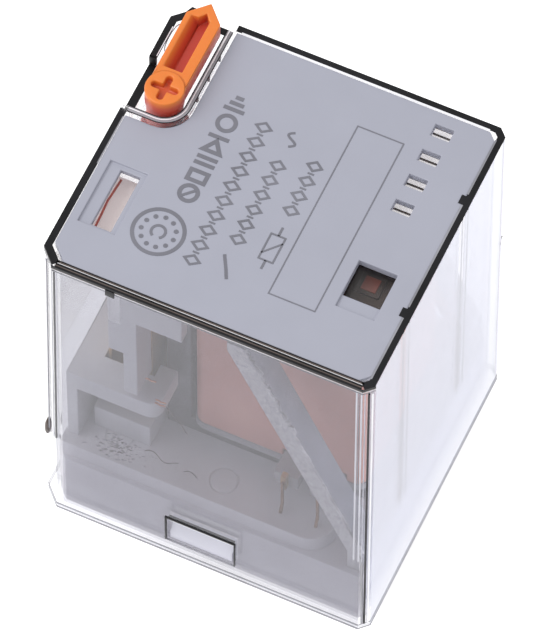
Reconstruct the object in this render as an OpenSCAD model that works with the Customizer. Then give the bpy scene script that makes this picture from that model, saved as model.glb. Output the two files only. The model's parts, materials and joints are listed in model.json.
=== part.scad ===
/* [Case] */
// Width of the clear cover at its bottom edge, along X
case_w = 38.6; // [38:0.1:39.5]
// Depth of the clear cover at its bottom edge, along Y
case_d = 35.4; // [35:0.1:36]
// Height of the cover from its bottom edge to its rim
case_h = 50.4; // [50:0.1:52]
// How far each side leans in between the bottom edge and the rim
case_draft = 0.46; // [0.3:0.02:0.6]
// Thickness of the cover's side walls
wall = 0.9; // [0.7:0.05:1]
// Thickness of the label plate and depth of the recess that holds it
plate_t = 1.0; // [0.8:0.1:1.2]

/* [Plug] */
// Diameter of the circle through the plug pins
pin_circle = 19.05; // [19:0.05:19.1]
// Number of plug pins
pin_count = 11; // [11:1:11]
// Diameter of one plug pin
pin_d = 2.36; // [2.3:0.02:2.4]
// Length of a plug pin below the seating face
pin_length = 12; // [11:0.5:13]
// Diameter of the keyed centre post
post_d = 8; // [7.8:0.1:8.2]
// Length of the centre post below the seating face
post_length = 13.5; // [13:0.5:15]

/* [Test button] */
// Place of the button's axis, along X
hub_x = -15.0; // [-15.2:0.1:-14.9]
// Place of the button's axis, along Y
hub_y = 5.6; // [5.4:0.1:5.8]
// Radius of the lever's round hub
hub_r = 2.1; // [2:0.05:2.1]
// Reach of the lever's pointed end from the hub's axis
lever_reach = 11.5; // [11:0.1:11.6]
// Thickness of the lever
lever_t = 2.4; // [2:0.1:3]
// How far the button can be pushed down
button_travel = 1.6; // [1.2:0.1:1.6]

/* [Mechanism] */
// Height of the hinge line of the armature
hinge_z = 42.7; // [42.5:0.1:42.8]
// Place of the hinge line, along X
hinge_x = -7.6; // [-7.8:0.1:-7.5]
// Distance between neighbouring poles, along Y
pole_pitch = 8.8; // [8.6:0.1:8.9]
// Width of one contact blade
blade_w = 4.4; // [4:0.1:4.5]
// Height of the contact buttons
contact_z = 32; // [31.5:0.1:32.5]

/* [Coil] */
// Place of the coil's axis, along X
coil_x = 5.1; // [5:0.1:5.2]
// Width of the wound coil, along X
coil_w = 20; // [19.6:0.1:20]
// Depth of the wound coil, along Y
coil_d = 19; // [18:0.1:19.4]
// Diameter of the steel core
core_d = 9; // [8:0.2:9.4]

/* [Hidden] */
$fn = 48;

// corner cuts: front left, front right, back right, back left
corner_cuts = [1.9, 1.0, 0.9, 2.0];
slab_t = 0.02;
tiny = 0.01;

roof_z = case_h - plate_t - 1.0;
plate_w = 36.0;
plate_d = 32.7;
bay_floor_z = 47.4;
bay_roof_z = 46.4;
bay_side_z = 48.8;
bay_right = -12.65;
bay_r = 2.35;
bay_front = hub_y - bay_r;
collar_t = 0.7;
collar_top = case_h + 0.5;

window_w = 7.8;
window_z = [2.9, 7.4];
rib_y = [-7.2, 7.6];

skirt_h = 9.2;
skirt_gap = 0.25;
floor_z = 11.6;
pin_hole_depth = 8;
shank_d = pin_d - 0.36;
pin_relief = 0.4;
post_tip = 0.8;
key_w = 1.8;
key_h = 1;
floor_marks = [[0.4, -13.0], [-12.0, -12.7]];

lever_z = case_h + 0.2;
arm_half = 1.95;
sleeve_r = 1.95;
fit_gap = 0.05;
seat_z = 37;
spring_top = 44.4;

foot_t = 2.5;
leg_x = [-8.3, -5.4];
leg_top = 42.3;
yoke_d = 17.6;
pole_z = 41.4;
bobbin_z = [14.3, 40.6];
flange_t = 1.1;
terminal_x = [7.2, 11.3];
screw_places = [[-2.6, -6.4], [12.9, -6.4], [-2.6, 6.4], [12.9, 6.4]];

blade_t = 0.35;
blade_bottom = 12.6;
blade_top = 33.6;
moving_x = -10.85;
open_x = -13.95;
closed_x = -9.2;
button_r = 1.4;
pusher_z = [25.7, 27.3];
card_top = 45.7;

// ---------------------------------------------------------------- outlines

function chamfered(w, d, cuts) = [
    [-w / 2 + cuts[0], -d / 2], [w / 2 - cuts[1], -d / 2],
    [w / 2, -d / 2 + cuts[1]], [w / 2, d / 2 - cuts[2]],
    [w / 2 - cuts[2], d / 2], [-w / 2 + cuts[3], d / 2],
    [-w / 2, d / 2 - cuts[3]], [-w / 2, -d / 2 + cuts[0]]];

module case_outline(inset, z) {
    shrink = 2 * (inset + case_draft * z / case_h);
    cuts = [for (cut = corner_cuts) max(0.3, cut - 0.586 * inset)];
    polygon(chamfered(case_w - shrink, case_d - shrink, cuts));
}

module case_prism(inset, z_low, z_high) {
    hull() {
        translate([0, 0, z_low]) linear_extrude(slab_t) case_outline(inset, z_low);
        translate([0, 0, z_high - slab_t])
            linear_extrude(slab_t) case_outline(inset, z_high);
    }
}

// the bay at the back left corner that the test lever stands in
module bay_outline(grow) {
    right = bay_right + grow;
    front = bay_front - grow;
    round_r = bay_r + grow;
    translate([right - 40, front]) square([40 - round_r, 60]);
    translate([right - 40, front + round_r]) square([40, 60]);
    translate([right - round_r, front + round_r]) circle(round_r);
}

module plate_outline(grow) {
    difference() {
        polygon(chamfered(plate_w + 2 * grow, plate_d + 2 * grow, corner_cuts));
        bay_outline(collar_t + 0.2 - grow);
    }
}

module rounded_box(size, r) {
    linear_extrude(size[2]) rounded_rectangle(size[0], size[1], r);
}

module rounded_rectangle(w, d, r) {
    square([w - 2 * r, d], center = true);
    square([w, d - 2 * r], center = true);
    for (x = [-1, 1], y = [-1, 1])
        translate([x * (w / 2 - r), y * (d / 2 - r)]) circle(r);
}

// a box given by its two opposite corners
module corner_box(low, high) {
    translate(low) cube(high - low);
}

// mirrored copies at the front and at the back
module both_sides() {
    children();
    mirror([0, 1, 0]) children();
}

// ---------------------------------------------------------------- case

module cover() {
    color([0.86, 0.88, 0.93, 0.35]) {
        difference() {
            union() {
                difference() {
                    case_prism(0, 0, case_h);
                    case_prism(wall, -slab_t, roof_z);
                }
                intersection() {
                    case_prism(wall / 2, bay_roof_z, case_h);
                    translate([0, 0, bay_roof_z])
                        linear_extrude(case_h - bay_roof_z) bay_outline(collar_t);
                }
            }
            plate_recess();
            bay_pocket();
            both_sides() latch_window();
            translate([hub_x, hub_y, bay_roof_z - 1]) cylinder(r = sleeve_r + fit_gap, h = 3);
        }
        bay_collar();
        bay_pip();
        cover_ribs();
    }
}

module plate_recess() {
    translate([0, 0, case_h - plate_t]) linear_extrude(plate_t + 1) plate_outline(0.08);
}

module bay_pocket() {
    translate([0, 0, bay_floor_z]) linear_extrude(10) intersection() {
        bay_outline(0);
        polygon(chamfered(plate_w, plate_d, corner_cuts));
    }
    // the side wall steps down where the lever swings out
    corner_box([-case_w, bay_front + 0.1, bay_side_z], [-plate_w / 2 + 1, 10, case_h + 5]);
    // the back wall steps down under the lever's point
    corner_box([-17.4, plate_d / 2 - 1, bay_side_z], [bay_right, case_d, case_h + 5]);
}

module bay_collar() {
    translate([0, 0, bay_roof_z]) linear_extrude(collar_top - bay_roof_z) intersection() {
        difference() {
            bay_outline(collar_t);
            bay_outline(0);
        }
        case_outline(0.3, case_h);
    }
}

module bay_pip() {
    translate([-17.55, 13, bay_roof_z]) rounded_box([0.9, 3.8, case_h - bay_roof_z - 0.1], 0.4);
}

module latch_window() {
    corner_box([-window_w / 2 - 0.3, -case_d, window_z[0]],
        [window_w / 2 - 0.3, -case_d / 2 + 2 * wall, window_z[1]]);
}

module cover_ribs() {
    for (y = rib_y)
        corner_box([17.3, y - 0.7, 12], [18.42, y + 0.7, roof_z + 0.3]);
    corner_box([-11.1, -16.8, 42.5], [-9.9, -15.95, roof_z + 0.3]);
    corner_box([-18.4, -15.9, 14.5], [-17.5, -15.3, roof_z + 0.3]);
}

module top_plate() {
    color("#b1b3bf") translate([0, 0, case_h - plate_t]) difference() {
        linear_extrude(plate_t) difference() {
            plate_outline(0);
            translate([-15.6, -10.9]) square([2.2, 7.2]);
            for (slot = [0 : 3]) translate([11.6, 3.4 + slot * 3.33]) square([2.1, 1.5]);
            translate([11.2, -7.7]) square([4.3, 4.3]);
        }
        corner_box([-17, -11.2, plate_t - 0.3], [-12.8, -3.2, plate_t + 1]);
        corner_box([11.2, -9.3, plate_t - 0.3], [15.5, -7.6, plate_t + 1]);
    }
}

// ---------------------------------------------------------------- base and plug

module base() {
    color("#b2b1ba") {
        difference() {
            union() {
                linear_extrude(skirt_h) case_outline(wall + skirt_gap, skirt_h);
                translate([0, 0, skirt_h - 1]) linear_extrude(floor_z - skirt_h + 1)
                    floor_outline();
                both_sides() latch_lug();
            }
            for (pin = [1 : pin_count]) pin_place(pin) pin_hole();
            for (mark = floor_marks) translate([mark[0], mark[1], floor_z - 0.12])
                difference() {
                    cylinder(r = 1.6, h = 1);
                    cylinder(r = 1.45, h = 1);
                }
            for (place = screw_places)
                translate([place[0], place[1], floor_z - 5]) cylinder(r = 0.9, h = 6);
        }
        key_post();
    }
}

module floor_outline() {
    difference() {
        translate([-17.7, -15.9]) square([31.2, 31.8]);
        for (y = [-1, 1]) translate([13.5, y * 15.9]) difference() {
            square(6, center = true);
            translate([-3, -y * 3]) circle(3);
        }
    }
}

module latch_lug() {
    translate([-window_w / 2 - 0.1, 0, 0]) rotate([90, 0, 90]) linear_extrude(window_w - 0.4)
        polygon([[-15, window_z[0] + 0.2], [-17.45, window_z[0] + 0.2],
            [-17.45, window_z[0] + 1.6], [-16.2, window_z[1] - 0.2], [-15, window_z[1] - 0.2]]);
}

module key_post() {
    translate([0, 0, -post_length]) cylinder(d1 = post_d - 2 * post_tip, d2 = post_d, h = post_tip);
    translate([0, 0, -post_length + post_tip])
        cylinder(d = post_d, h = post_length - post_tip + tiny);
    // the key starts near the tip, so it finds its groove before the pins reach the socket
    translate([-key_w / 2, -post_d / 2 - key_h, -post_length + 1])
        cube([key_w, 2 * key_h, post_length - 1 + tiny]);
}

// pins 1 and 11 stand on either side of the key, which faces the front
module pin_place(pin) {
    rotate([0, 0, -90 + (pin - 0.5) * 360 / pin_count])
        translate([pin_circle / 2, 0, 0]) children();
}

module pin_hole() {
    translate([0, 0, -1]) cylinder(d = shank_d, h = pin_hole_depth + 1);
    translate([0, 0, -1]) cylinder(d = pin_d + pin_relief, h = 1 + pin_relief);
}

module plug_pin(pin) {
    tip = 0.9;
    color("#c9c6bd") pin_place(pin) {
        translate([0, 0, -pin_length + tip]) cylinder(d = pin_d, h = pin_length - tip);
        translate([0, 0, -tiny]) cylinder(d = shank_d, h = pin_hole_depth - 0.2);
        translate([0, 0, -pin_length]) cylinder(d1 = pin_d * 0.55, d2 = pin_d, h = tip);
    }
}

// ---------------------------------------------------------------- test button

module test_lever() {
    color("#e8612a") translate([hub_x, hub_y, lever_z]) {
        difference() {
            union() {
                cylinder(r = hub_r, h = lever_t);
                linear_extrude(lever_t - 0.15) polygon([[-arm_half, 0], [arm_half, 0],
                    [arm_half, lever_reach - 2], [0, lever_reach], [-arm_half, lever_reach - 2]]);
            }
            translate([0, 0, lever_t - 0.9]) linear_extrude(2) driver_cross();
            translate([0, 0, lever_t - 1.7]) linear_extrude(3)
                polygon([[-0.5, 2.5], [0.8, 2.5], [0.8, 9.2], [0.1, 10.2], [-0.5, 9.4]]);
            // the channel's left side slopes down to its floor
            translate([0, 9.4, lever_t]) rotate([90, 0, 0]) linear_extrude(6.9)
                polygon([[-1.35, 0.1], [0.8, 0.1], [0.8, -1.6], [-0.5, -1.6], [-1.35, -0.15]]);
        }
        translate([0, 0, -5]) cylinder(r = 1, h = 5 + tiny);
    }
}

module driver_cross() {
    for (turn = [0, 90]) rotate(turn) {
        square([2.3, 0.76], center = true);
        translate([-1.15, 0]) circle(d = 0.76);
        translate([1.15, 0]) circle(d = 0.76);
    }
}

module test_plunger() {
    color("#b4522c") translate([hub_x, hub_y, 0]) difference() {
        union() {
            translate([0, 0, spring_top]) cylinder(r = sleeve_r, h = lever_z - 0.1 - spring_top);
            translate([0, 0, spring_top]) cylinder(r = 2.6, h = 1.5);
            translate([0, 0, 39.5]) cylinder(r = 1.1, h = spring_top - 39.5 + tiny);
        }
        translate([0, 0, 45.4]) cylinder(r = 1 + fit_gap, h = 10);
    }
}

function coil_point(turn_angle, r, z0, rise) =
    [r * cos(turn_angle), r * sin(turn_angle), z0 + rise * turn_angle / 360];

// a round wire swept along points, with flat ends
module wire(points, r, sides = 8) {
    last = len(points) - 1;
    rings = [for (i = [0 : last])
        let (ahead = points[min(i + 1, last)] - points[max(i - 1, 0)],
            along = ahead / norm(ahead),
            side_raw = abs(along[2]) > 0.9 ? cross(along, [0, 1, 0]) : cross(along, [0, 0, 1]),
            side = side_raw / norm(side_raw),
            up = cross(side, along))
        for (s = [0 : sides - 1])
            points[i] + r * (side * cos(s * 360 / sides) + up * sin(s * 360 / sides))];
    walls = [for (i = [0 : last - 1], s = [0 : sides - 1])
        let (next = (s + 1) % sides)
        [i * sides + s, i * sides + next, (i + 1) * sides + next, (i + 1) * sides + s]];
    polyhedron(rings, concat([[for (s = [sides - 1 : -1 : 0]) s]], walls,
        [[for (s = [0 : sides - 1]) last * sides + s]]), convexity = 8);
}

module plunger_spring() {
    turns = 5;
    gap = spring_top - seat_z;
    color("#c4c4c8") translate([hub_x, hub_y, 0])
        wire([for (a = [0 : 24 : turns * 360])
            coil_point(a, 1.6, seat_z + 0.25, (gap - 0.5) / turns)], 0.2, 6);
}

module indicator_flag() {
    color("#e9e4e2") {
        corner_box([-16.4, -11.6, 46.8], [-11.6, -3.0, 47.4]);
        corner_box([-12.4, -8.5, card_top], [-11.6, -6.0, 46.9]);
        corner_box([-12.4, -8.5, card_top], [-6.4, -6.0, card_top + 0.6]);
    }
}

// ---------------------------------------------------------------- magnet

module coil_bobbin() {
    height = bobbin_z[1] - bobbin_z[0];
    color("#a9a7b0") translate([coil_x, 0, bobbin_z[0]]) difference() {
        union() {
            rounded_box([coil_w + 0.3, coil_d + 0.3, flange_t], 1.5);
            translate([0, 0, height - flange_t])
                rounded_box([coil_w + 0.3, coil_d + 0.3, flange_t], 1.5);
            cylinder(d = core_d + 2.4, h = height);
            for (x = terminal_x)
                corner_box([x - coil_x - 1.4, -12.2, 0], [x - coil_x + 1.4, -8, 2.2]);
        }
        translate([0, 0, -1]) cylinder(d = core_d + 0.1, h = height + 2);
    }
}

module coil_winding() {
    color("#b8683a") translate([coil_x, 0, bobbin_z[0] + flange_t]) difference() {
        rounded_box([coil_w - 0.8, coil_d - 0.8, winding_h()], 1);
        translate([0, 0, -1]) cylinder(d = core_d + 2.4, h = winding_h() + 2);
        corner_box([0.5, -13, -1], [7.9, -7.9, 1.3]);
    }
}

function winding_h() = bobbin_z[1] - bobbin_z[0] - 2 * flange_t;

module coil_tape() {
    color("#c59a99") translate([coil_x, 0, bobbin_z[0] + flange_t]) difference() {
        rounded_box([coil_w, coil_d, winding_h()], 1.4);
        translate([0, 0, -1]) rounded_box([coil_w - 0.8, coil_d - 0.8, winding_h() + 2], 1);
        corner_box([0.5, -13, -1], [7.9, -7.9, 1.3]);
    }
}

module core() {
    color("#8f8d92") translate([coil_x, 0, 0]) difference() {
        union() {
            translate([0, 0, floor_z + foot_t])
                cylinder(d = core_d, h = pole_z - floor_z - foot_t);
            translate([0, 0, floor_z + 0.2]) cylinder(r = 2.5, h = foot_t);
        }
        translate([1, 0, pole_z - 1.3]) ring_shape(4.6, 5.0, 0.9, 3);
    }
}

module ring_shape(w, d, t, h) {
    linear_extrude(h) difference() {
        square([w, d], center = true);
        square([w - 2 * t, d - 2 * t], center = true);
    }
}

module shading_ring() {
    color("#b87333") translate([coil_x + 1, 0, pole_z - 1.3]) ring_shape(4.6, 5.0, 0.9, 1.2);
}

module yoke() {
    color("#86848b") difference() {
        union() {
            corner_box([leg_x[0], -yoke_d / 2, floor_z], [leg_x[1], yoke_d / 2, leg_top]);
            corner_box([leg_x[0], -yoke_d / 2, floor_z], [14.9, yoke_d / 2, floor_z + foot_t]);
            both_sides() corner_box([leg_x[0], -yoke_d / 2, leg_top - 1],
                [hinge_x - 0.3, -yoke_d / 2 + 2, leg_top + 1.2]);
        }
        translate([coil_x, 0, floor_z - 1]) cylinder(r = 2.5, h = foot_t + 2);
        for (place = screw_places)
            translate([place[0], place[1], floor_z - 1]) cylinder(r = 1, h = foot_t + 2);
    }
}

module yoke_screws() {
    color("#c8c8cc") for (place = screw_places)
        translate([place[0], place[1], floor_z - 4.6]) {
            cylinder(r = 0.85, h = 4.6 + foot_t);
            translate([0, 0, 4.6 + foot_t - 0.9]) cylinder(r = 0.98, h = 0.9);
        }
}

// a bail of punched steel: two slanting legs joined by a bridge over the armature
module magnet_strap() {
    top_x = 2.0;
    strip_w = 1.9;
    foot_x = 16.0;
    inner_y = 12.45;
    color("#adabb2") {
        both_sides() translate([0, -inner_y, 0]) rotate([90, 0, 0]) linear_extrude(3.4)
            polygon([[top_x, 46.4], [top_x + strip_w, 46.4], [foot_x + 1.7, skirt_h + 4.2],
                [foot_x + 1.7, skirt_h + 0.05], [foot_x, skirt_h + 0.05],
                [foot_x, skirt_h + 3.4], [top_x, 44.9]]);
        corner_box([top_x, -inner_y - tiny, 45.2], [top_x + strip_w, inner_y + tiny, 46.4]);
    }
}

module armature() {
    color("#98969c") difference() {
        corner_box([-9.2, -7.4, hinge_z], [11.4, 7.4, hinge_z + 1.6]);
        both_sides() corner_box([-9.3, -7.5, hinge_z - 1], [hinge_x - 0.15, -6.6, hinge_z + 3]);
        corner_box([-9.3, -2.3, hinge_z - 1], [-8.0, 2.3, hinge_z + 3]);
    }
}

// ---------------------------------------------------------------- contacts

module armature_card() {
    color("#bdbcc4") {
        both_sides() {
            translate([0, -13.4, 0]) rotate([90, 0, 0]) linear_extrude(1.4)
                polygon([[-12.1, 33.5], [-10.35, 33.5], [-10.35, 40.5], [-3.6, 40.5],
                    [-3.6, card_top], [-12.1, card_top]]);
            corner_box([-10.4, -14.8, pusher_z[0]], [-8.8, -11.25, card_top]);
        }
        corner_box([-10.4, -11.3, pusher_z[0]], [-9.4, 11.3, pusher_z[1]]);
        corner_box([-8.6, -13.5, hinge_z + 1.6], [-4.2, 13.5, card_top]);
        corner_box([-10.4, -14.8, hinge_z + 1.6], [-8.5, 14.8, card_top]);
    }
}

module return_spring() {
    color("#b9a26a") {
        corner_box([-8.62, -2, 35], [-8.32, 2, 43.9]);
        corner_box([-8.62, -3.4, 35], [-8.32, 3.4, 38.5]);
    }
}

module contact_block() {
    color("#aeacb4") difference() {
        union() {
            linear_extrude_at(21.6, 24.5) shelf_outline();
            corner_box([-17.3, -14.6, floor_z], [-16.0, 14.6, 24.5]);
            corner_box([-15.1, -12.6, floor_z], [-8.5, 12.6, 15.5]);
            corner_box([-17.2, hub_y - 2.1, 24.4], [-14.35, hub_y + 2.1, seat_z]);
            for (y = [-pole_pitch / 2, pole_pitch / 2])
                corner_box([-14.9, y - 0.5, floor_z], [-13.0, y + 0.5, 24.5]);
        }
        for (pole = [1 : 3]) translate([0, pole_y(pole), 0]) blade_slots();
    }
}

module linear_extrude_at(z_low, z_high) {
    translate([0, 0, z_low]) linear_extrude(z_high - z_low) children();
}

module shelf_outline() {
    corner_r = 1.6;
    difference() {
        union() {
            translate([-17.3, -14.6]) square([8.6, 29.2]);
            for (y = [-12.1, 12.1]) {
                translate([-17.3, y - 2.5]) square([10.8 - corner_r, 5]);
                translate([-17.3, y - 2.5 + (y < 0 ? corner_r : 0)])
                    square([10.8, 5 - corner_r]);
                translate([-6.5 - corner_r, y - sign(-y) * (2.5 - corner_r)]) circle(corner_r);
            }
        }
        for (pole = [1 : 3]) translate([-14.3, pole_y(pole) - blade_w / 2 - 0.2])
            square([5.75, blade_w + 0.4]);
    }
}

module blade_slots() {
    half = blade_w / 2 + 0.08;
    corner_box([open_x - 0.06, -half, blade_bottom - 0.2], [open_x + 0.41, half, 16]);
    corner_box([moving_x - 0.45, -half, blade_bottom - 0.2], [moving_x + 0.8, half, 16]);
    corner_box([closed_x - 0.06, -half, blade_bottom - 0.2], [closed_x + 0.41, half, 16]);
}

function pole_y(pole) = (pole - 2) * pole_pitch;

module blade(x, bottom) {
    corner_box([x, -blade_w / 2, bottom], [x + blade_t, blade_w / 2, blade_top]);
}

module moving_blade(pole) {
    color("#c98f4f") translate([0, pole_y(pole), 0]) difference() {
        blade(moving_x, blade_bottom);
        button_place(moving_x - 1) cylinder(r = 0.6, h = 2);
    }
}

module button_place(x) {
    translate([x, 0, contact_z]) rotate([0, 90, 0]) children();
}

module moving_contacts(pole) {
    color("#cfcfd3") translate([0, pole_y(pole), 0]) {
        button_place(moving_x - 0.45) cylinder(r = button_r, h = 0.45);
        button_place(moving_x + blade_t) cylinder(r = button_r, h = 0.6);
        button_place(moving_x - 0.2) cylinder(r = 0.6, h = 0.8);
    }
}

module open_blade(pole) {
    color("#b9793f") translate([0, pole_y(pole), 0]) difference() {
        blade(open_x, blade_bottom);
        button_place(open_x - 1) cylinder(r = 0.6, h = 2);
    }
}

module closed_blade(pole) {
    color("#b9793f") translate([0, pole_y(pole), 0]) difference() {
        blade(closed_x, blade_bottom);
        button_place(closed_x - 1) cylinder(r = 0.6, h = 2);
    }
}

module fixed_contacts() {
    color("#d2d2d6") for (pole = [1 : 3]) translate([0, pole_y(pole), 0]) {
        button_place(open_x + blade_t) cylinder(r = button_r, h = 0.35);
        button_place(open_x - 0.3) cylinder(r = 0.6, h = 0.8);
        button_place(closed_x - 0.62) cylinder(r = button_r, h = 0.62);
        button_place(closed_x - 0.2) cylinder(r = 0.6, h = 0.8);
    }
}

// ---------------------------------------------------------------- wiring

module coil_terminals() {
    color("#8c7440") for (x = terminal_x)
        corner_box([x - 0.3, -12.9, bobbin_z[0] + 0.3], [x + 0.3, -12.2, bobbin_z[0] + 2.9]);
}

module coil_leads() {
    color("#9a6a34") for (x = terminal_x)
        wire([[x, -13.1, bobbin_z[0] + 2], [x + 0.1, -13.3, bobbin_z[0] + 0.6],
            [x + 0.3, -13.7, 13.2], [x + 0.3, -14.2, floor_z + 0.3]], 0.2);
}

module flexible_leads() {
    color("#a8683c") for (pole = [1 : 3]) translate([0, pole_y(pole), 0])
        for (side = [0, 1])
            wire([for (t = [0 : 0.125 : 1])
                [-14.4 - 1.3 * sin(180 * t), 1.2 + 0.7 * side, 15.8 + 5.2 * t]], 0.16);
}

cover();
top_plate();
base();
plug_pin(1);  // pin_1
plug_pin(2);  // pin_2
plug_pin(3);  // pin_3
plug_pin(4);  // pin_4
plug_pin(5);  // pin_5
plug_pin(6);  // pin_6
plug_pin(7);  // pin_7
plug_pin(8);  // pin_8
plug_pin(9);  // pin_9
plug_pin(10);  // pin_10
plug_pin(11);  // pin_11
test_lever();
test_plunger();
plunger_spring();
indicator_flag();
coil_bobbin();
coil_winding();
coil_tape();
core();
shading_ring();
yoke();
yoke_screws();
magnet_strap();
armature();
armature_card();
return_spring();
contact_block();
moving_blade(1);  // moving_blade_1
moving_blade(2);  // moving_blade_2
moving_blade(3);  // moving_blade_3
moving_contacts(1);  // moving_contacts_1
moving_contacts(2);  // moving_contacts_2
moving_contacts(3);  // moving_contacts_3
open_blade(1);  // open_blade_1
open_blade(2);  // open_blade_2
open_blade(3);  // open_blade_3
closed_blade(1);  // closed_blade_1
closed_blade(2);  // closed_blade_2
closed_blade(3);  // closed_blade_3
fixed_contacts();
coil_terminals();
coil_leads();
flexible_leads();
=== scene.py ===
"""The looks of a clear-cased plug-in relay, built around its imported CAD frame.

Lengths are millimetres in the frame's own axes until a mesh is made, when MM turns them
into metres. +Z points up to the top plate, -Y is the front face.
"""

import json
import math
import random

import bmesh
import bpy
from mathutils import Matrix, Vector


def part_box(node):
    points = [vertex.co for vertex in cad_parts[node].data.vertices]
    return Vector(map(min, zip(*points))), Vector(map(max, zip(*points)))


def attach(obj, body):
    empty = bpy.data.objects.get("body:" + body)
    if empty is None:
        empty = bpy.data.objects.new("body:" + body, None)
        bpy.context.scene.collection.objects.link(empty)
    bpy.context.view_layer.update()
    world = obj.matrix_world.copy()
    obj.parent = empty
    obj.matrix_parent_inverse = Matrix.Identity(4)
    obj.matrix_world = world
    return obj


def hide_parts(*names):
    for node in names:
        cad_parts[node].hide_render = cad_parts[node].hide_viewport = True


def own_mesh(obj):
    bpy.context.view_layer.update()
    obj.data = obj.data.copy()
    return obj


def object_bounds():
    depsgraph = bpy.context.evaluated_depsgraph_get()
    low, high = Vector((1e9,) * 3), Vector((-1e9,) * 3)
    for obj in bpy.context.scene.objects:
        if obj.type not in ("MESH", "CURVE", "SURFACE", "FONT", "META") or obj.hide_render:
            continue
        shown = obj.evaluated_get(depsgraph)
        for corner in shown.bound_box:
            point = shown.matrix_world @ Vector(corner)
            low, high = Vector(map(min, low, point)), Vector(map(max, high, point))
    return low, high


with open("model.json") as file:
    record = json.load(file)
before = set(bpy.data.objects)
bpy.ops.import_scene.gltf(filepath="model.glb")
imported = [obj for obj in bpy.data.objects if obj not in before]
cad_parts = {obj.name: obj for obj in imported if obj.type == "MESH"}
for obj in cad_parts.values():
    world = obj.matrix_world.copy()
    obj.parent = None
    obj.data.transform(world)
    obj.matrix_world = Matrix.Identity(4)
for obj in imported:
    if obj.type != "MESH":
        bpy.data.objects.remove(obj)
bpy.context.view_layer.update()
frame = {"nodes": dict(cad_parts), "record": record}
MM = 0.001
BODIES = frame["record"]["behaviour"]["bodies"]
SLOTS = {row["node"]: row["material_slot"] for row in frame["record"]["subparts"]}


def box_mm(node):
    """The lowest and highest corner of a CAD node, in millimetres."""
    low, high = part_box(node)
    return Vector(low) / MM, Vector(high) / MM


def body_of_node(node):
    return next(body for body, nodes in BODIES.items() if node in nodes)


CASE_HIGH = box_mm("cover")[1]
RIM_Z = box_mm("top_plate")[1].z
DRAFT = 0.46  # how far each wall of the cover leans in from its foot to its rim

# ------------------------------------------------------------------ materials


class Shader:
    """A material's node tree with short calls to add and join nodes."""

    def __init__(self, name):
        self.material = bpy.data.materials.new(name)
        self.material.use_nodes = True
        self.tree = self.material.node_tree
        self.tree.nodes.clear()
        self.output = self.add("ShaderNodeOutputMaterial")
        self.place = self.add("ShaderNodeTexCoord").outputs["Object"]

    def add(self, kind, **settings):
        node = self.tree.nodes.new(kind)
        for key, value in settings.items():
            setattr(node, key, value)
        return node

    def link(self, source, target):
        self.tree.links.new(source, target)

    def noise(self, size_mm, detail=3.0, stretch=(1, 1, 1), rough=0.55):
        """Noise whose features are about size_mm across; stretch makes them longer."""
        spread = self.add("ShaderNodeMapping")
        spread.inputs["Scale"].default_value = [1 / (size_mm * MM * s) for s in stretch]
        self.link(self.place, spread.inputs["Vector"])
        noise = self.add("ShaderNodeTexNoise")
        noise.inputs["Scale"].default_value = 1.0
        noise.inputs["Detail"].default_value = detail
        noise.inputs["Roughness"].default_value = rough
        self.link(spread.outputs["Vector"], noise.inputs["Vector"])
        return noise.outputs["Fac"]

    def ramp(self, value, stops):
        """A colour ramp; stops are (place, colour)."""
        node = self.add("ShaderNodeValToRGB")
        elements = node.color_ramp.elements
        for _ in range(len(stops) - 2):
            elements.new(0.5)
        for element, (position, color) in zip(elements, stops):
            element.position = position
            element.color = (*color, 1)
        self.link(value, node.inputs["Fac"])
        return node.outputs["Color"]

    def span(self, value, low, high):
        """A 0..1 value remapped to low..high."""
        node = self.add("ShaderNodeMapRange")
        node.inputs["To Min"].default_value = low
        node.inputs["To Max"].default_value = high
        self.link(value, node.inputs["Value"])
        return node.outputs["Result"]

    def bump(self, height, depth_mm, normal=None):
        node = self.add("ShaderNodeBump")
        node.inputs["Strength"].default_value = 1.0
        node.inputs["Distance"].default_value = depth_mm * MM
        self.link(height, node.inputs["Height"])
        if normal is not None:
            self.link(normal, node.inputs["Normal"])
        return node.outputs["Normal"]

    def principled(self, **values):
        node = self.add("ShaderNodeBsdfPrincipled")
        for key, value in values.items():
            node.inputs[key.replace("_", " ")].default_value = value
        self.link(node.outputs["BSDF"], self.output.inputs["Surface"])
        return node


def shade(color, factor):
    return tuple(min(1.0, channel * factor) for channel in color)


def plastic(name, color, roughness=0.42, mottle=0.05, grain_mm=0.12, depth_mm=0.004, **more):
    """Moulded plastic: faint flow mottling, fine spark-eroded grain and soft gloss."""
    s = Shader(name)
    surface = s.principled(**more)
    cloud = s.noise(6.0, 4.0)
    s.link(s.ramp(cloud, [(0.3, shade(color, 1 - mottle)), (0.7, shade(color, 1 + mottle))]),
           surface.inputs["Base Color"])
    s.link(s.span(s.noise(1.3, 3.0), roughness - 0.06, roughness + 0.06),
           surface.inputs["Roughness"])
    flow = s.bump(s.noise(9.0, 2.0), depth_mm * 6)
    s.link(s.bump(s.noise(grain_mm, 2.0), depth_mm, flow), surface.inputs["Normal"])
    return s.material


def metal(name, color, roughness=0.32, stretch=(1, 1, 12), stain=0.15, depth_mm=0.003,
          scratch_mm=0.08):
    """Rolled or plated metal: drawn scratches, stains and uneven gloss."""
    s = Shader(name)
    surface = s.principled(Metallic=1.0)
    cloud = s.noise(3.0, 5.0)
    s.link(s.ramp(cloud, [(0.25, shade(color, 1 - stain)), (0.75, shade(color, 1 + stain))]),
           surface.inputs["Base Color"])
    scratch = s.noise(scratch_mm, 3.0, stretch)
    s.link(s.span(scratch, roughness - 0.1, roughness + 0.14), surface.inputs["Roughness"])
    s.link(s.bump(scratch, depth_mm), surface.inputs["Normal"])
    return s.material


GLOSS_SQUARE_ON = 0.04
GLOSS_POWER = 5.0


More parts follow.
